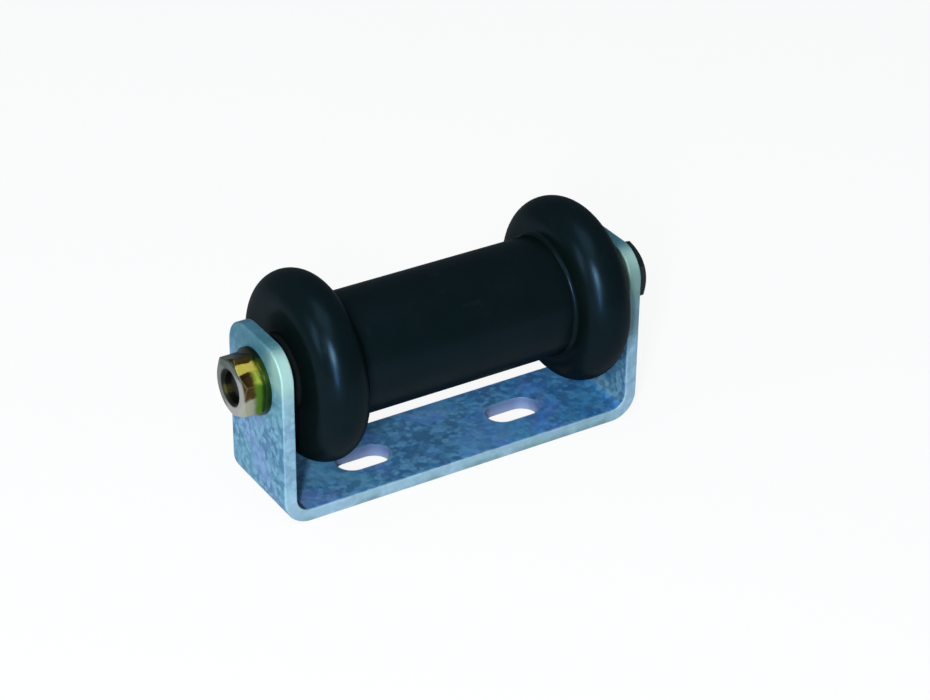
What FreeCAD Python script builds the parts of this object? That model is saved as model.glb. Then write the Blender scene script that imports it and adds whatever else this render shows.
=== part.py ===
import FreeCAD, Part
import math
import os

# Keel roller for a boat trailer: a rubber roller with a round bead at each end.
# It turns on an axle tube that a long bolt clamps between the ears of a folded bracket.
# All sizes are in millimetres and all angles in degrees.
# X runs along the axle, Y across the bracket and Z up from the bracket's underside.
# The origin is the middle of the bracket's underside.

# Roller moulding
roller_length = 130.0
bead_diameter = 71.0
bead_section_radius = 10.0
barrel_diameter = 46.0
crease_radius = 1.6
bore_lead_in = 1.0

# Bracket bar
bar_width = 40.0
bar_thickness = 5.0
bar_edge_round = 0.6
inside_bend_radius = 5.5
bead_to_base_gap = 11.0
ear_above_axle = 18.3
ear_corner_radius = 12.0

# Fixing slots in the base
slot_spacing = 65.0
slot_length = 22.0
slot_width = 13.0

# Wall of the distance tube on the bolt
tube_wall = 2.5

# Flanged bushes pressed into the ends of the roller
bush_length = 30.0
bush_wall = 3.0
bush_flange_width = 2.5
bush_flange_thickness = 2.0
bush_lead_in = 0.8

# Thrust washers between the bushes and the ears
thrust_washer_width = 5.0
thrust_washer_thickness = 3.0
washer_edge_break = 0.3

# Axle bolt, with its head outside the right ear
bolt_diameter = 12.0
head_across_flats = 21.0
head_thickness = 7.5
head_turn = 30.0
bolt_end_chamfer = 1.2
head_washer_width = 6.5
head_washer_thickness = 2.0

# Flange nut outside the left ear
nut_across_flats = 21.0
nut_height = 10.0
nut_turn = 36.0
nut_flange_width = 2.0
nut_flange_edge = 1.8
nut_flange_slope = 22.0
nut_mouth_flare = 1.0
bolt_end_below_nut = 3.0

# Chamfer that both hexagons have on their outer faces
hexagon_chamfer_angle = 30.0
hexagon_face_share = 0.95

# Clearances
running_clearance = 0.08
press_seat_clearance = 0.03
thread_clearance = 0.05
side_play = 0.5
washer_clearance = 0.5
bolt_hole_clearance = 0.5
tube_bore_clearance = 0.5

# Reach of the punches past the bar, and the angle above which an edge counts as sharp
punch_overrun = 5.0
sharp_edge_angle = 30.0

# Places that follow from the sizes above
barrel_radius = barrel_diameter / 2
bead_centre_radius = bead_diameter / 2 - bead_section_radius
roller_end = roller_length / 2
bead_centre = roller_end - bead_section_radius
bush_end = roller_end + bush_flange_thickness
ear_inside = bush_end + side_play + thrust_washer_thickness
ear_outside = ear_inside + bar_thickness
axle_height = bar_thickness + bead_to_base_gap + bead_diameter / 2
ear_top = axle_height + ear_above_axle
outside_bend_radius = inside_bend_radius + bar_thickness
bolt_radius = bolt_diameter / 2
bolt_hole_radius = bolt_radius + bolt_hole_clearance
tube_bore_radius = bolt_radius + tube_bore_clearance
tube_radius = tube_bore_radius + tube_wall
bush_bore_radius = tube_radius + running_clearance
bush_radius = bush_bore_radius + bush_wall
roller_bore_radius = bush_radius + press_seat_clearance
head_seat = ear_outside + head_washer_thickness
nut_end = ear_outside + nut_height
bolt_end = nut_end - bolt_end_below_nut


def at_axle(along, radius):
    """Point in the upright plane through the axle, at a radius from the axle line."""
    return FreeCAD.Vector(along, 0, axle_height + radius)


def straight(start, end):
    return Part.LineSegment(start, end).toShape()


def arc(start, middle, end):
    return Part.Arc(start, middle, end).toShape()


def turned(edges):
    """Solid turned once about the axle line from the closed outline that the edges make."""
    outline = Part.Face(Part.Wire(Part.__sortEdges__(edges)))
    return outline.revolve(at_axle(0, 0), FreeCAD.Vector(1, 0, 0), 360)


def turned_outline(stations):
    """Solid turned about the axle line from straight-sided corners, each (along, radius)."""
    corners = [at_axle(along, radius) for along, radius in stations]
    edges = [straight(corners[i - 1], corners[i]) for i in range(len(corners))]
    return turned(edges)


def round_bar(start, end, radius):
    return Part.makeCylinder(radius, end - start, at_axle(start, 0), FreeCAD.Vector(1, 0, 0))


def hexagon_bar(start, end, across_flats, turn):
    """Six-sided bar along the axle line."""
    corner_radius = across_flats / math.sqrt(3)
    corners = []
    for side in range(6):
        angle = math.radians(turn + side * 60)
        sideways = corner_radius * math.cos(angle)
        upwards = corner_radius * math.sin(angle)
        corners.append(FreeCAD.Vector(start, sideways, axle_height + upwards))
    outline = Part.Face(Part.makePolygon(corners + corners[:1]))
    return outline.extrude(FreeCAD.Vector(end - start, 0, 0))


def chamfered_washer(start, end, hole_radius, radius):
    """Flat ring whose outer edges are broken by a small chamfer."""
    cut = washer_edge_break
    return turned_outline([
        (start, hole_radius),
        (start, radius - cut),
        (start + cut, radius),
        (end - cut, radius),
        (end, radius - cut),
        (end, hole_radius),
    ])


def sharp_edges(shape):
    """Edges where two faces meet at a clear angle, leaving out the seams of tangent faces."""
    found = []
    for edge in shape.Edges:
        faces = shape.ancestorsOfType(edge, Part.Face)
        if len(faces) != 2:
            continue
        middle = edge.valueAt((edge.FirstParameter + edge.LastParameter) / 2)
        normals = [face.normalAt(*face.Surface.parameter(middle)) for face in faces]
        if math.degrees(normals[0].getAngle(normals[1])) > sharp_edge_angle:
            found.append(edge)
    return found


def folded_bar():
    """The flat bar folded up at both ends into a U, with square ear corners."""
    side = FreeCAD.Vector(0, -bar_width / 2, 0)

    def corner(along, height):
        return FreeCAD.Vector(along, 0, height) + side

    edges = []
    for hand in (-1, 1):
        for face, radius, floor in (
            (ear_outside, outside_bend_radius, 0),
            (ear_inside, inside_bend_radius, bar_thickness),
        ):
            upper = corner(hand * face, floor + radius)
            lower = corner(hand * (face - radius), floor)
            reach = radius * (1 - math.sqrt(0.5))
            middle = corner(hand * (face - reach), floor + reach)
            edges.append(straight(corner(hand * face, ear_top), upper))
            edges.append(arc(upper, middle, lower))
        edges.append(straight(corner(hand * ear_outside, ear_top), corner(hand * ear_inside, ear_top)))
    for face, radius, floor in (
        (ear_outside, outside_bend_radius, 0),
        (ear_inside, inside_bend_radius, bar_thickness),
    ):
        edges.append(straight(corner(radius - face, floor), corner(face - radius, floor)))
    outline = Part.Face(Part.Wire(Part.__sortEdges__(edges)))
    return outline.extrude(FreeCAD.Vector(0, bar_width, 0))


def ear_corner_edges(bar):
    """The short edges across the bar's thickness at the four top corners of the ears."""
    found = []
    for edge in bar.Edges:
        box = edge.BoundBox
        at_ear_top = box.ZMin > ear_top - ear_corner_radius
        if at_ear_top and box.XLength > box.YLength + box.ZLength:
            found.append(edge)
    return found


def fixing_slot(centre):
    """Through slot with round ends along the base's middle line."""
    end_radius = slot_width / 2
    half_straight = slot_length / 2 - end_radius
    below = -punch_overrun
    depth = bar_thickness + 2 * punch_overrun
    ends = []
    for hand in (-1, 1):
        place = FreeCAD.Vector(centre + hand * half_straight, 0, below)
        ends.append(Part.makeCylinder(end_radius, depth, place))
    corner = FreeCAD.Vector(centre - half_straight, -end_radius, below)
    middle = Part.makeBox(2 * half_straight, slot_width, depth, corner)
    return middle.fuse(ends).removeSplitter()


def bracket():
    """Folded, rounded and punched galvanised bar that carries the roller."""
    bar = folded_bar()
    bar = bar.makeFillet(ear_corner_radius, ear_corner_edges(bar))
    bar = bar.makeFillet(bar_edge_round, sharp_edges(bar))
    punch_reach = ear_outside + punch_overrun
    axle_holes = round_bar(-punch_reach, punch_reach, bolt_hole_radius)
    slots = [fixing_slot(hand * slot_spacing / 2) for hand in (-1, 1)]
    return bar.cut([axle_holes] + slots)


def roller():
    """Rubber moulding: a straight barrel between two round beads, bored through."""
    crease_centre_radius = barrel_radius + crease_radius
    rise = crease_centre_radius - bead_centre_radius
    centre_distance = bead_section_radius + crease_radius
    run = math.sqrt(centre_distance ** 2 - rise ** 2)
    bead_side_angle = math.atan2(rise, -run)
    over_bead = math.pi / 2
    crease_low = -math.pi / 2
    crease_side_angle = math.atan2(-rise, run)
    crease_middle = (crease_low + crease_side_angle) / 2
    bore = roller_bore_radius
    edges = []
    for hand in (-1, 1):

        def bead_point(angle):
            along = bead_centre + bead_section_radius * math.cos(angle)
            return at_axle(hand * along, bead_centre_radius + bead_section_radius * math.sin(angle))

        def crease_point(angle):
            along = bead_centre - run + crease_radius * math.cos(angle)
            return at_axle(hand * along, crease_centre_radius + crease_radius * math.sin(angle))

        lead_in = at_axle(hand * roller_end, bore + bore_lead_in)
        bore_start = at_axle(hand * (roller_end - bore_lead_in), bore)
        edges.append(straight(bore_start, lead_in))
        edges.append(straight(lead_in, bead_point(0)))
        edges.append(arc(bead_point(0), bead_point(over_bead), bead_point(bead_side_angle)))
        edges.append(arc(bead_point(bead_side_angle), crease_point(crease_middle), crease_point(crease_low)))
    barrel_half = bead_centre - run
    bore_half = roller_end - bore_lead_in
    edges.append(straight(at_axle(-barrel_half, barrel_radius), at_axle(barrel_half, barrel_radius)))
    edges.append(straight(at_axle(-bore_half, bore), at_axle(bore_half, bore)))
    return turned(edges)


def bush(hand):
    """Flanged bush: the flange bears on the roller's end and the sleeve sits in its bore."""
    flange_radius = bush_radius + bush_flange_width
    inner_end = roller_end - bush_length
    return turned_outline([
        (hand * bush_end, bush_bore_radius),
        (hand * bush_end, flange_radius),
        (hand * roller_end, flange_radius),
        (hand * roller_end, bush_radius),
        (hand * (inner_end + bush_lead_in), bush_radius),
        (hand * inner_end, bush_radius - bush_lead_in),
        (hand * inner_end, bush_bore_radius),
    ])


def axle_tube():
    """Distance tube clamped between the ears, on which the bushes turn."""
    outside = round_bar(-ear_inside, ear_inside, tube_radius)
    inside = round_bar(-ear_inside, ear_inside, tube_bore_radius)
    return outside.cut(inside)


def thrust_washer(hand):
    """Washer on the axle tube, lying against the inside of one ear."""
    near = min(hand * ear_inside, hand * (ear_inside - thrust_washer_thickness))
    hole = tube_radius + washer_clearance
    return chamfered_washer(near, near + thrust_washer_thickness, hole, hole + thrust_washer_width)


def head_washer():
    """Flat washer between the bolt head and the right ear."""
    hole = bolt_radius + washer_clearance
    return chamfered_washer(ear_outside, head_seat, hole, hole + head_washer_width)


def axle_bolt():
    """Hexagon bolt through both ears and the tube, its end inside the nut."""
    hexagon = hexagon_bar(head_seat, head_seat + head_thickness, head_across_flats, head_turn)
    face_radius = head_across_flats / 2 * hexagon_face_share
    corner_radius = head_across_flats / math.sqrt(3)
    drop = (corner_radius - face_radius) * math.tan(math.radians(hexagon_chamfer_angle))
    chamfer_body = turned_outline([
        (head_seat, 0),
        (head_seat, corner_radius),
        (head_seat + head_thickness - drop, corner_radius),
        (head_seat + head_thickness, face_radius),
        (head_seat + head_thickness, 0),
    ])
    shank = turned_outline([
        (head_seat, 0),
        (head_seat, bolt_radius),
        (bolt_end_chamfer - bolt_end, bolt_radius),
        (-bolt_end, bolt_radius - bolt_end_chamfer),
        (-bolt_end, 0),
    ])
    return hexagon.common(chamfer_body).fuse(shank).removeSplitter()


def flange_nut():
    """Hexagon nut with a sloping flange, bearing on the left ear."""
    corner_radius = nut_across_flats / math.sqrt(3)
    face_radius = nut_across_flats / 2 * hexagon_face_share
    flange_radius = nut_across_flats / 2 + nut_flange_width
    bore = bolt_radius + thread_clearance
    mouth = bore + nut_mouth_flare
    slope = math.tan(math.radians(nut_flange_slope))
    drop = (corner_radius - face_radius) * math.tan(math.radians(hexagon_chamfer_angle))
    cone_top = nut_flange_edge + (flange_radius - bore) * slope
    hexagon = hexagon_bar(-nut_end, -ear_outside, nut_across_flats, nut_turn)
    chamfer_body = turned_outline([
        (-ear_outside, 0),
        (-ear_outside, corner_radius),
        (drop - nut_end, corner_radius),
        (-nut_end, face_radius),
        (-nut_end, 0),
    ])
    flange = turned_outline([
        (-ear_outside, 0),
        (-ear_outside, flange_radius),
        (-ear_outside - nut_flange_edge, flange_radius),
        (-ear_outside - cone_top, bore),
        (-ear_outside - cone_top, 0),
    ])
    hole = turned_outline([
        (-ear_outside, 0),
        (-ear_outside, mouth),
        (bore - mouth - ear_outside, bore),
        (mouth - bore - nut_end, bore),
        (-nut_end, mouth),
        (-nut_end, 0),
    ])
    return hexagon.common(chamfer_body).fuse(flange).removeSplitter().cut(hole)


pieces = {
    "bracket": bracket(),
    "roller": roller(),
    "left_bush": bush(-1),
    "right_bush": bush(1),
    "axle_tube": axle_tube(),
    "left_thrust_washer": thrust_washer(-1),
    "right_thrust_washer": thrust_washer(1),
    "axle_bolt": axle_bolt(),
    "head_washer": head_washer(),
    "flange_nut": flange_nut(),
}

os.makedirs("parts", exist_ok=True)
for name, shape in pieces.items():
    shape.exportStep(os.path.join("parts", name + ".step"))
    print(name, "solids", len(shape.Solids), "valid", shape.isValid(), "volume", round(shape.Volume))
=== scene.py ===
import math
import bpy
from mathutils import Matrix, Vector


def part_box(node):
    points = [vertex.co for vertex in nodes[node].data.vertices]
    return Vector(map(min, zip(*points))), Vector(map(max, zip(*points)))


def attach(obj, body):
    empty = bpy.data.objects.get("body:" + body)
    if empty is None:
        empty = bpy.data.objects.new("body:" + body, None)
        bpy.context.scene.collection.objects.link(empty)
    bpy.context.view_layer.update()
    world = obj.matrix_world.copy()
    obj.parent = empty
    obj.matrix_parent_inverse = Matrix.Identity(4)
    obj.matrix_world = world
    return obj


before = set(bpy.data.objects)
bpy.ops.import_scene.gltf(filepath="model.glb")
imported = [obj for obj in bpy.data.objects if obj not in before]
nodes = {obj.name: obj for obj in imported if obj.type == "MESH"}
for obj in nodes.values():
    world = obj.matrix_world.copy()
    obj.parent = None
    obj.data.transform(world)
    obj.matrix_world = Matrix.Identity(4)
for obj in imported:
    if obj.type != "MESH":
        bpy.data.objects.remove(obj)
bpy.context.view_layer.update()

# Camera: the photographer stood to the left of the roller and looked down on it from a metre away.
# The angles and the distance were worked out from the roller's rims and the bracket's edges.
camera_azimuth = -31.98
camera_elevation = 30.6
camera_roll = math.radians(0.68)
camera_distance = 0.9618
looked_at = Vector((0.0112, 0.0, 0.0377))
focal_length = 100.82
sensor_width = 36.0


def direction(azimuth, elevation):
    """Way from the object to a camera or a lamp, by angles in degrees. Azimuth 0 is the front."""
    turned = math.radians(azimuth)
    raised = math.radians(elevation)
    return Vector((
        math.sin(turned) * math.cos(raised),
        -math.cos(turned) * math.cos(raised),
        math.sin(raised),
    ))


def add_object(name, data):
    """New object in the scene, with its mesh, lamp or camera data."""
    made = bpy.data.objects.new(name, data)
    bpy.context.scene.collection.objects.link(made)
    return made


back = direction(camera_azimuth, camera_elevation)
level_right = direction(camera_azimuth + 90.0, 0.0)
level_up = back.cross(level_right)
right = math.cos(camera_roll) * level_right + math.sin(camera_roll) * level_up
up = math.cos(camera_roll) * level_up - math.sin(camera_roll) * level_right
camera = add_object("camera", bpy.data.cameras.new("camera"))
camera.data.lens = focal_length
camera.data.sensor_width = sensor_width
turn = Matrix((right, up, back)).transposed().to_4x4()
camera.matrix_world = Matrix.Translation(looked_at + back * camera_distance) @ turn
bpy.context.scene.camera = camera


# Bracket: one flat steel bar, punched, folded up at both ends and hot-dip galvanised.
# The zinc is blue-grey with a fine mottle, darker at the ears' tops, and thick and pale on the edges and
# the sheared sides.
# Low down it has stains. Painted shade darkens the base's top, the left bend, the sheared sides beside the
# head and along their lower edges, and the slot walls carry painted light and shade.
bracket_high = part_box("bracket")[1]
bar_thickness = 0.005
slot_half_width = 0.0065
ear_inside = bracket_high[0] - bar_thickness
ear_top = bracket_high[2]

dark_zinc = (0.043, 0.142, 0.248, 1)
middle_zinc = (0.090, 0.236, 0.345, 1)
light_zinc = (0.168, 0.340, 0.450, 1)
lilac_zinc = (0.210, 0.270, 0.560, 1)
teal_zinc = (0.110, 0.320, 0.380, 1)
dark_top_zinc = (0.035, 0.135, 0.175, 1)
green_zinc = (0.160, 0.340, 0.330, 1)
rubbed_zinc = (0.330, 0.500, 0.440, 1)
pale_low_zinc = (0.380, 0.525, 0.610, 1)
pale_high_zinc = (0.400, 0.600, 0.540, 1)
shade_beside_head_zinc = (0.050, 0.120, 0.110, 1)
lit_slot_foot = (0.300, 0.370, 0.600, 1)
shaded_slot_rim = (0.110, 0.180, 0.400, 1)
painted_bend_shade = (0.004, 0.016, 0.030, 1)
base_shade_tint = (0.45, 0.92, 1.42, 1)
stain_and_shade_tint = (0.58, 0.66, 0.58, 1)


class Socket:
    """A shader socket that takes part in sums, so that a mask reads as plain arithmetic."""

    def __init__(self, finish, link):
        self.finish = finish
        self.link = link

    def maths(self, operation, *values):
        return self.finish.node("ShaderNodeMath", {"operation": operation}, dict(enumerate(values)))

    def __add__(self, other):
        return self.maths("ADD", self, other)

    def __radd__(self, other):
        return self.maths("ADD", other, self)

    def __sub__(self, other):
        return self.maths("SUBTRACT", self, other)

    def __rsub__(self, other):
        return self.maths("SUBTRACT", other, self)

    def __mul__(self, other):
        return self.maths("MULTIPLY", self, other)

    def __rmul__(self, other):
        return self.maths("MULTIPLY", other, self)

    def __abs__(self):
        return self.maths("ABSOLUTE", self)


class Finish:
    """The shader nodes of a material, or of the world, under way. All come from the node method."""

    def __init__(self, block, end="ShaderNodeOutputMaterial"):
        self.block = block
        self.end = end
        block.use_nodes = True
        self.tree = block.node_tree
        self.tree.nodes.clear()

    def node(self, kind, settings=None, inputs=None, output=0):
        """A new node: its settings come first, then the values or links of its sockets."""
        made = self.tree.nodes.new(kind)
        for name, value in (settings or {}).items():
            if name == "stops":
                self.set_stops(made.color_ramp.elements, value)
            else:
                setattr(made, name, value)
        for key, value in (inputs or {}).items():
            if isinstance(value, Socket):
                self.tree.links.new(value.link, made.inputs[key])
            else:
                made.inputs[key].default_value = value
        return Socket(self, made.outputs[output]) if made.outputs else None

    def set_stops(self, elements, stops):
        for i, (position, colour) in enumerate(stops):
            element = elements[i] if i < len(elements) else elements.new(position)
            element.position = position
            element.color = colour

    def place(self):
        """The point on the piece, in metres, in the piece's own frame."""
        return self.node("ShaderNodeTexCoord", output="Object")

    def facing(self):
        """The way the surface faces, in the piece's own frame."""
        return self.node("ShaderNodeTexCoord", output="Normal")

    def axis(self, vector, letter):
        return self.node("ShaderNodeSeparateXYZ", inputs={0: vector}, output=letter)

    def axes(self, vector):
        return [self.axis(vector, letter) for letter in "XYZ"]

    def vector_maths(self, operation, first, second, output=0):
        return self.node("ShaderNodeVectorMath", {"operation": operation}, {0: first, 1: second}, output)

    def stretched(self, vector, scale):
        return self.vector_maths("MULTIPLY", vector, scale)

    def noise(self, vector, scale, detail=3.0, roughness=0.5):
        inputs = {"Vector": vector, "Scale": scale, "Detail": detail, "Roughness": roughness}
        return self.node("ShaderNodeTexNoise", inputs=inputs)

    def cells(self, vector, scale, smoothness):
        """Random shade of each cell of a blurred crystal pattern, from 0 to 1."""
        inputs = {"Vector": vector, "Scale": scale, "Smoothness": smoothness}
        colour = self.node("ShaderNodeTexVoronoi", {"feature": "SMOOTH_F1"}, inputs, output="Color")
        return self.axis(colour, "X")

    def rise(self, value, low, high):
        """0 below low, 1 above high and a smooth rise between."""
        inputs = {"Value": value, "From Min": low, "From Max": high}
        return self.node("ShaderNodeMapRange", {"interpolation_type": "SMOOTHSTEP"}, inputs)

    def fall(self, value, low, high):
        """1 below low, 0 above high and a smooth fall between."""
        return 1.0 - self.rise(value, low, high)

    def between(self, value, low, high, soft):
        """1 from low to high, falling smoothly to 0 past both."""
        return self.rise(value, low - soft, low) * self.fall(value, high, high + soft)

    def ramp(self, value, *stops):
        return self.node("ShaderNodeValToRGB", {"stops": stops}, {0: value})

    def mixed(self, share, first, second, blend="MIX"):
        """The first colour under a share of the second. Sockets 6 and 7 are the node's two colours."""
        settings = {"data_type": "RGBA", "blend_type": blend, "clamp_factor": True}
        return self.node("ShaderNodeMix", settings, {0: share, 6: first, 7: second}, output=2)

    def tinted(self, share, colour, tint):
        return self.mixed(share, colour, tint, "MULTIPLY")

    def layered(self, colour, *layers):
        """Lays colours one over the other, each with the share of the surface that it covers."""
        for share, layer in layers:
            colour = self.mixed(share, colour, layer)
        return colour

    def rounded(self, radius):
        """The surface's direction with its hard edges eased over a small radius."""
        return self.node("ShaderNodeBevel", {"samples": 6}, {"Radius": radius})

    def near_edges(self, radius):
        """0 on open faces, rising where an edge is closer than the radius."""
        straight = self.node("ShaderNodeNewGeometry", output="Normal")
        likeness = self.vector_maths("DOT_PRODUCT", self.rounded(radius), straight, output="Value")
        return self.rise(1.0 - likeness, 0.002, 0.12)

    def bump(self, height, depth, strength, base=None):
        inputs = {"Height": height, "Distance": depth, "Strength": strength}
        if base:
            inputs["Normal"] = base
        return self.node("ShaderNodeBump", inputs=inputs)

    def surface(self, **inputs):
        """A principled surface, whose sockets are named with _ for a space."""
        named = {name.replace("_", " "): value for name, value in inputs.items()}
        return self.node("ShaderNodeBsdfPrincipled", inputs=named)

    def shaders_mixed(self, share, first, second):
        return self.node("ShaderNodeMixShader", inputs={0: share, 1: first, 2: second})

    def ends_in(self, shader):
        """Joins the last shader to the output, and gives the material or world back."""
        self.node(self.end, inputs={"Surface": shader})
        return self.block


def dress(material, *pieces):
    """Gives pieces one material all over."""
    for piece in pieces:
        piece.data.materials.clear()
        piece.data.materials.append(material)


def on_the_base(finish, height):
    """1 on the flat base, falling to 0 up the bends."""
    return finish.fall(height, bar_thickness + 0.001, bar_thickness + 0.006)


def facing_up(finish):
    return finish.rise(finish.axis(finish.facing(), "Z"), 0.5, 0.9)


def on_a_sheared_side(finish):
    """1 on the bar's narrow front and rear sides."""
    return finish.rise(abs(finish.axis(finish.facing(), "Y")), 0.35, 0.9)


def fresh_zinc(finish, place, shade):
    """The coat as it left the bath: a blue-grey mottle with lilac and teal blooms."""
    mottle = finish.ramp(shade, (0.40, dark_zinc), (0.50, middle_zinc), (0.60, light_zinc))
    lilac_bloom = finish.rise(finish.noise(place, scale=70.0, detail=2.0), 0.5, 0.7)
    teal_bloom = finish.rise(finish.noise(place, scale=52.0, detail=2.0, roughness=0.4), 0.5, 0.7)
    return finish.layered(mottle, (0.4 * lilac_bloom, lilac_zinc), (0.35 * teal_bloom, teal_zinc))


def weathered_faces(finish, zinc, place, cloud):
    """Broad faces: darker at the ears' tops, painted shade making the base's top more blue, rubbed at the
    ears' front corners.
    """
    along, across, height = finish.axes(place)
    # The ears darken towards their tops.
    towards_the_ear_tops = finish.rise(height + 0.006 * cloud, ear_top - 0.016, ear_top)
    zinc = finish.mixed(0.85 * towards_the_ear_tops, zinc, dark_top_zinc)
    # Painted shade and painted reflection of the dark roller: the base's top darkened and made more blue,
    # in patches and more towards the head.
    towards_the_head = finish.rise(along, -0.01, 0.06)
    patchy = 0.75 + 0.5 * finish.rise(cloud, 0.42, 0.58)
    painted_base_shade = (0.5 + 0.35 * towards_the_head) * patchy * facing_up(finish) * on_the_base(finish, height)
    zinc = finish.tinted(painted_base_shade, zinc, base_shade_tint)
    front_corner = finish.rise(0.012 * cloud - across, 0.008, 0.024) * finish.rise(height, 0.035, 0.055)
    rubbed_corner = finish.rise(0.006 * cloud - across, 0.012, 0.018) * finish.rise(height, 0.052, 0.058)
    return finish.layered(zinc, (0.4 * front_corner, green_zinc), (0.65 * rubbed_corner, rubbed_zinc))


def pale_sides(finish, zinc, place, cloud):
    """Sheared sides and edges: thick pale zinc, greener on top of the ears, with painted shade beside the
    head.
    """
    along, across, height = finish.axes(place)
    sheared = on_a_sheared_side(finish)
    upright = finish.rise(height, 0.008, 0.016)
    thick = (0.5 + 0.25 * cloud) * sheared + 0.4 * finish.near_edges(radius=0.0014)
    high = finish.rise(height, ear_top - 0.03, ear_top - 0.012)
    pale_zinc = finish.mixed(high, pale_low_zinc, pale_high_zinc)
    # Painted shade on the sheared sides of the right ear beside the bolt head.
    painted_shade_beside_head = finish.rise(along, 0.0, ear_inside) * finish.between(height, 0.040, 0.060, soft=0.010)
    return finish.layered(
        zinc,
        ((1.0 - 0.42 * upright) * thick, pale_zinc),
        (0.6 * painted_shade_beside_head * sheared, shade_beside_head_zinc),
    )


def marked_base(finish, zinc, place, wander):
    """Low down: painted shade in the left bend, stains and a painted shaded lower edge on the sheared
    sides, and painted light and shade on the slot walls.
    """
    along, across, height = finish.axes(place)
    base = on_the_base(finish, height)
    sheared = on_a_sheared_side(finish)
    # Painted shade: the inner face of the left bend is darkened beside the ear.
    left_bend_shade = finish.fall(along, -0.066, -0.064) * finish.fall(height, 0.009, 0.014)
    inward = finish.rise(finish.axis(finish.facing(), "X"), 0.2, 0.45)
    zinc = finish.mixed(0.9 * left_bend_shade * inward * (1.0 - sheared), zinc, painted_bend_shade)
    # Real stains in patches, with painted shade along the sheared sides' lower edges.
    shaded_lower_edge = finish.fall(height, 0.0004, 0.0034)
    stains_and_low_shade = (0.15 + 0.85 * finish.rise(wander, 0.44, 0.54)) * (0.35 + 0.65 * shaded_lower_edge)
    zinc = finish.tinted(stains_and_low_shade * sheared * base, zinc, stain_and_shade_tint)
    # Painted light and shade on the slot walls: pale lilac at the foot, darker blue at the rim.
    between_the_ears = finish.fall(abs(along), 0.050, 0.055)
    in_a_slot = finish.fall(abs(across), slot_half_width + 0.0003, slot_half_width + 0.002)
    slot_wall = base * between_the_ears * in_a_slot * (1.0 - facing_up(finish))
    painted_slot_wall_light = finish.mixed(finish.rise(height, 0.0004, 0.0044), lit_slot_foot, shaded_slot_rim)
    return finish.mixed(0.8 * slot_wall, zinc, painted_slot_wall_light)


def galvanised_zinc():
    finish = Finish(bpy.data.materials.new("galvanised_zinc"))
    place = finish.place()
    wander = finish.noise(place, scale=48.0, detail=2.0)
    cloud = finish.noise(place, scale=170.0, detail=4.0, roughness=0.65)
    crystals = finish.cells(place, scale=520.0, smoothness=0.6)
    grain = finish.noise(place, scale=1000.0, roughness=0.7)
    drain_lines = finish.noise(finish.stretched(place, (1.0, 0.12, 0.6)), scale=260.0, roughness=0.6)
    shade = 0.24 * crystals + 0.2 * cloud + 0.16 * wander + 0.26 * grain + 0.14 * drain_lines
    relief = 0.35 * crystals + 0.3 * drain_lines + 0.35 * grain
    zinc = fresh_zinc(finish, place, shade)
    zinc = weathered_faces(finish, zinc, place, cloud)
    zinc = pale_sides(finish, zinc, place, cloud)
    zinc = marked_base(finish, zinc, place, wander)
    return finish.ends_in(finish.surface(
        Base_Color=zinc,
        Metallic=0.4,
        Roughness=0.5 + 0.2 * shade,
        Normal=finish.bump(relief, depth=0.0003, strength=0.5, base=finish.rounded(0.0004)),
    ))


dress(galvanised_zinc(), nodes["bracket"])


# Axle tube and thrust washers: turned steel with bright zinc plating, clamped between the ears.
# The bushes that turn on the tube are black nylon, moulded with a flange.
tube_low, tube_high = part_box("axle_tube")
axle_height = (tube_low[2] + tube_high[2]) / 2
dull_plate = (0.30, 0.34, 0.38, 1)
bright_plate = (0.46, 0.50, 0.54, 1)
tarnished_plate = (0.22, 0.25, 0.27, 1)
washer_rim_shade = (0.008, 0.012, 0.014, 1)
dark_nylon = (0.002, 0.004, 0.004, 1)
light_nylon = (0.006, 0.009, 0.010, 1)


def from_axle(finish, place):
    """Distance from the axle line, in metres."""
    cross = finish.stretched(place, (0.0, 1.0, 1.0))
    return finish.vector_maths("DISTANCE", cross, (0.0, 0.0, axle_height), "Value")


def bright_zinc():
    finish = Finish(bpy.data.materials.new("bright_zinc"))
    place = finish.place()
    turning_marks = finish.noise(finish.stretched(place, (1.0, 0.05, 0.05)), scale=2600.0, detail=2.0)
    tarnish = finish.rise(finish.noise(place, scale=140.0), 0.5, 0.75)
    # Painted shade: the washers' rims, between the ears and the beads, are darkened.
    shaded_rim = finish.rise(from_axle(finish, place), 0.0125, 0.0135)
    plate = finish.mixed(turning_marks, dull_plate, bright_plate)
    return finish.ends_in(finish.surface(
        Base_Color=finish.layered(plate, (tarnish, tarnished_plate), (0.95 * shaded_rim, washer_rim_shade)),
        Metallic=0.9,
        Roughness=0.3 + 0.15 * turning_marks,
        Normal=finish.bump(turning_marks, depth=0.00004, strength=0.3, base=finish.rounded(0.0002)),
    ))


def black_nylon():
    finish = Finish(bpy.data.materials.new("black_nylon"))
    speckle = finish.noise(finish.place(), scale=1500.0, detail=2.0)
    return finish.ends_in(finish.surface(
        Base_Color=finish.mixed(speckle, dark_nylon, light_nylon),
        Roughness=0.4 + 0.15 * speckle,
        Specular_IOR_Level=0.08,
        Normal=finish.bump(speckle, depth=0.00005, strength=0.3, base=finish.rounded(0.0003)),
    ))


dress(bright_zinc(), nodes["axle_tube"], nodes["left_thrust_washer"], nodes["right_thrust_washer"])
dress(black_nylon(), nodes["left_bush"], nodes["right_bush"])


# Roller: black rubber moulded in one piece, with a bead at each end to guide the keel.
# The mould was turned, so the skin has faint rings round the axle and a soft satin sheen.
dark_rubber = (0.0010, 0.0028, 0.0022, 1)
light_rubber = (0.0026, 0.0052, 0.0052, 1)
scuffed_rubber = (0.008, 0.012, 0.013, 1)
blue_sheen = (0.3, 0.62, 1.0, 1)


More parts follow.
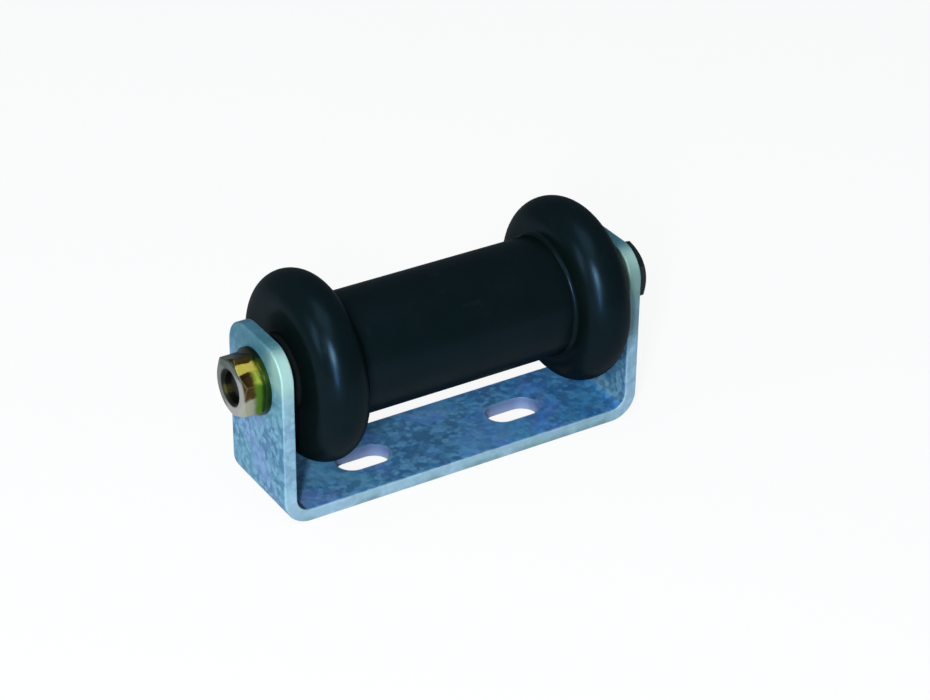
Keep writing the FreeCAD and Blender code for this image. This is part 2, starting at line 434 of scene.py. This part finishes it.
def moulded_rubber():
    """Mostly matt, with a share of a shiny skin that keeps the highlights soft."""
    finish = Finish(bpy.data.materials.new("moulded_rubber"))
    place = finish.place()
    bloom = finish.noise(place, scale=45.0, detail=4.0, roughness=0.6)
    mould_rings = finish.noise(finish.stretched(place, (1.0, 0.03, 0.03)), scale=900.0, detail=2.0)
    grain = finish.noise(place, scale=1700.0)
    wear = finish.noise(finish.stretched(place, (0.5, 1.0, 1.0)), scale=210.0, roughness=0.7)
    scuffs = finish.rise(wear, 0.6, 0.75)
    relief = 0.35 * bloom + 0.3 * mould_rings + 0.35 * grain
    skin = finish.mixed(0.25 * scuffs, finish.mixed(bloom, dark_rubber, light_rubber), scuffed_rubber)
    matt = finish.surface(Base_Color=skin, Roughness=0.8, Specular_IOR_Level=0.0)
    shiny = finish.surface(
        Base_Color=skin,
        Roughness=0.24 + 0.12 * bloom + 0.08 * scuffs,
        Specular_IOR_Level=1.0,
        Specular_Tint=blue_sheen,
        Normal=finish.bump(relief, depth=0.00012, strength=0.35),
    )
    return finish.ends_in(finish.shaders_mixed(0.125 + 0.06 * bloom, matt, shiny))


dress(moulded_rubber(), nodes["roller"])


# Axle bolt and its washer: dark self-coloured steel, the head outside the right ear.
# Only the head and the recessed end of the shank can be seen.
dark_scale = (0.010, 0.014, 0.016, 1)
light_scale = (0.034, 0.040, 0.046, 1)
rubbed_steel = (0.11, 0.12, 0.13, 1)


def dark_steel():
    finish = Finish(bpy.data.materials.new("dark_steel"))
    place = finish.place()
    tone = finish.noise(place, scale=300.0)
    scale_pits = finish.noise(place, scale=1400.0, roughness=0.7)
    rubbed = finish.near_edges(radius=0.0009)
    return finish.ends_in(finish.surface(
        Base_Color=finish.mixed(0.5 * rubbed, finish.mixed(tone, dark_scale, light_scale), rubbed_steel),
        Metallic=0.85,
        Roughness=0.34 + 0.16 * tone,
        Normal=finish.bump(scale_pits, depth=0.00008, strength=0.35, base=finish.rounded(0.0003)),
    ))


dress(dark_steel(), nodes["axle_bolt"], nodes["head_washer"])


# Flange nut: yellow passivated steel, screwed on the bolt's end against the left ear.
# The passivation runs from ochre and lime to brown, and the outer face is rubbed to bare zinc.
# Painted light and shade lie over it: a gold highlight under the upper corner, and dark shade on the upper
# sides, the flange rim, the bore and the outer face's upper part.
nut_low, nut_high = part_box("flange_nut")
nut_turn = 36.0
upper_side = math.radians(nut_turn + 90.0)
down_the_side = (0.0, -math.sin(upper_side), math.cos(upper_side))
brown_film = (0.030, 0.014, 0.004, 1)
ochre_film = (0.090, 0.050, 0.010, 1)
lime_film = (0.560, 0.600, 0.070, 1)
leaf_film = (0.120, 0.260, 0.012, 1)
painted_gold_highlight = (0.760, 0.600, 0.100, 1)
pale_film = (0.440, 0.430, 0.300, 1)
rubbed_film = (0.560, 0.480, 0.140, 1)
olive_face_shade = (0.050, 0.070, 0.050, 1)
dark_flange_reflection = (0.006, 0.030, 0.004, 1)
bare_zinc = (0.420, 0.400, 0.370, 1)
top_side_shade = (0.006, 0.010, 0.005, 1)
bore_shade = (0.005, 0.007, 0.005, 1)


def side_film(finish, tone, inwards, down):
    """The hexagon's sides: a painted gold highlight under the upper corner, green by the flange and pale
    low down.
    """
    by_the_flange = finish.rise(inwards, 0.0038, 0.0060)
    green = finish.mixed(finish.rise(down, 0.0045, 0.0065), lime_film, leaf_film)
    return finish.layered(
        finish.ramp(tone, (0.40, brown_film), (0.60, ochre_film)),
        (0.95 * by_the_flange * finish.rise(down, -0.0005, 0.0005), green),
        # Painted highlight: a gold band under the upper corner.
        (finish.between(down, -0.0028, -0.0002, soft=0.0006), painted_gold_highlight),
        (0.85 * finish.rise(down, 0.0085, 0.0095) * (1.0 - by_the_flange), pale_film),
        (0.25 * finish.near_edges(radius=0.0008), rubbed_film),
    )


def yellow_passivated():
    finish = Finish(bpy.data.materials.new("yellow_passivated"))
    place = finish.place()
    along, across, height = finish.axes(place)
    tone = finish.noise(place, scale=130.0, roughness=0.6)
    fine = finish.noise(place, scale=900.0)
    wander = 0.005 * tone - 0.0025
    from_centre = finish.vector_maths("SUBTRACT", place, (0.0, 0.0, axle_height))
    down = finish.vector_maths("DOT_PRODUCT", from_centre, down_the_side, "Value") + wander
    outer_face = finish.fall(along, nut_low[0], nut_low[0] + 0.0006)
    over_the_axle = finish.rise(height - axle_height, 0.0055, 0.0075)
    # Painted shade on the outer face, over the axle and towards the rear.
    shaded_face = outer_face * (over_the_axle + 0.8 * finish.rise(across, 0.001, 0.005))
    # Painted dark reflection on the flange's rim.
    shaded_flange_rim = finish.rise(along, nut_high[0] - 0.0034, nut_high[0] - 0.0022)
    # Painted dark reflection: the nut's upper sides are darkened.
    painted_dark_top = finish.fall(down, -0.0065, -0.0045) * (1.0 - outer_face)
    # Painted shade in the nut's bore, on the thread and round the bolt's end.
    shaded_bore = finish.fall(from_axle(finish, place), 0.0068, 0.0076)
    film = finish.layered(
        side_film(finish, tone, along - nut_low[0] + wander, down),
        (0.85 * outer_face, bare_zinc),
        (0.9 * shaded_face, olive_face_shade),
        (0.95 * shaded_flange_rim, dark_flange_reflection),
        (0.95 * painted_dark_top, top_side_shade),
        (0.95 * shaded_bore, bore_shade),
    )
    return finish.ends_in(finish.surface(
        Base_Color=film,
        Metallic=0.85,
        Roughness=0.22 + 0.14 * tone + 0.2 * shaded_bore + 0.15 * painted_dark_top,
        Normal=finish.bump(fine, depth=0.00006, strength=0.3, base=finish.rounded(0.0003)),
    ))


passivated = yellow_passivated()
dress(passivated, nodes["flange_nut"])


# Nut thread: the turns of the thread that show in the nut's mouth, past the end of the bolt.
# It is cut in the nut itself, a single right-hand ridge that fades out at both ends.
thread_pitch = 0.00175
thread_root = 0.00606
thread_crest = 0.0053
half_foot = 0.42 * thread_pitch
bolt_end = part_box("axle_bolt")[0][0]
bolt_end_gap = 0.00005
thread_first = nut_low[0] + 0.0008
thread_last = bolt_end - bolt_end_gap
turns = (thread_last - thread_first) / thread_pitch - 0.5
steps_a_turn = 48
fade_steps = 0.3 * steps_a_turn


def thread_ridge(name):
    """Three-sided ridge wound inside a bore: two points on the bore and one on the crest."""
    count = round(turns * steps_a_turn)
    verts = []
    faces = []
    for i in range(count + 1):
        angle = 2 * math.pi * i / steps_a_turn
        middle = thread_first + half_foot + thread_pitch * i / steps_a_turn
        fade = min(1.0, i / fade_steps, (count - i) / fade_steps)
        crest = thread_root + (thread_crest - thread_root) * fade
        for along, radius in ((-half_foot, thread_root), (0.0, crest), (half_foot, thread_root)):
            verts.append((middle + along, radius * math.cos(angle), axle_height + radius * math.sin(angle)))
        if i:
            first = 3 * i
            for side in range(3):
                after = (side + 1) % 3
                faces.append((first - 3 + side, first + side, first + after, first - 3 + after))
    faces.append((0, 1, 2))
    faces.append((3 * count + 2, 3 * count + 1, 3 * count))
    mesh = bpy.data.meshes.new(name)
    mesh.from_pydata(verts, [], faces)
    return add_object(name, mesh)


nut_thread = thread_ridge("nut_thread")
dress(passivated, nut_thread)
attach(nut_thread, "bracket_body")


# Table: a plain matt white studio table under the bracket.
# The camera sees it nearly white with a faint shadow, and glossy skins see a little of that white.
table_reach = 3.0
table_grey = (0.7, 0.7, 0.7, 1)
white = (1, 1, 1, 1)
gloss_share = 0.08


def shown_white(finish, lit, plain_white, camera_share):
    """Ends a finish that lights the object as it is, and shows as white to the camera."""
    to_camera = finish.node("ShaderNodeLightPath", output="Is Camera Ray")
    to_gloss = finish.node("ShaderNodeLightPath", output="Is Glossy Ray")
    white_share = camera_share * to_camera + gloss_share * to_gloss
    return finish.ends_in(finish.shaders_mixed(white_share, lit, plain_white))


def white_table():
    finish = Finish(bpy.data.materials.new("white_table"))
    matt = finish.node("ShaderNodeBsdfDiffuse", inputs={"Color": table_grey})
    plain_white = finish.node("ShaderNodeEmission", inputs={"Color": white})
    return shown_white(finish, matt, plain_white, camera_share=0.9)


floor_mesh = bpy.data.meshes.new("studio_floor")
corners = [(table_reach * x, table_reach * y, 0.0) for x, y in ((-1, -1), (1, -1), (1, 1), (-1, 1))]
floor_mesh.from_pydata(corners, [], [(0, 1, 2, 3)])
floor = add_object("studio_floor", floor_mesh)
dress(white_table(), floor)


# Lamps and air: a narrow soft box beside the camera with a low bluish one under it, a faint one at
# the left and a broad one high up. The air adds a dim blue from all round, and shows white.
air_blue = (0.55, 0.84, 1.0, 1)
air_strength = 0.32


def soft_box(name, azimuth, elevation, distance, size, power, colour=(1.0, 1.0, 1.0)):
    """An upright soft box aimed at the roller, placed by its angles as seen from the roller."""
    data = bpy.data.lights.new(name, "AREA")
    data.shape = "RECTANGLE"
    data.size, data.size_y = size
    data.energy = power
    data.color = colour
    aim = direction(azimuth, elevation)
    lamp = add_object(name, data)
    lamp.location = aim * distance + Vector((0.0, 0.0, axle_height))
    lamp.rotation_mode = "QUATERNION"
    lamp.rotation_quaternion = aim.to_track_quat("Z", "Y")


def studio_air():
    finish = Finish(bpy.data.worlds.new("studio_air"), end="ShaderNodeOutputWorld")
    dim = finish.node("ShaderNodeBackground", inputs={"Color": air_blue, "Strength": air_strength})
    plain_white = finish.node("ShaderNodeBackground", inputs={"Color": white})
    return shown_white(finish, dim, plain_white, camera_share=1.0)


soft_box("camera_side_lamp", -39.0, 29.0, distance=1.1, size=(0.1, 0.36), power=12.6)
soft_box("low_blue_lamp", -39.0, 7.0, distance=1.1, size=(0.1, 0.26), power=4.0, colour=(0.5, 0.72, 1.0))
soft_box("left_lamp", -88.0, 24.0, distance=1.2, size=(0.2, 0.6), power=3.0, colour=(0.9, 0.96, 1.0))
soft_box("high_lamp", -50.0, 74.0, distance=1.4, size=(0.9, 0.9), power=6.0)
bpy.context.scene.world = studio_air()
bpy.context.scene.view_settings.view_transform = "Standard"
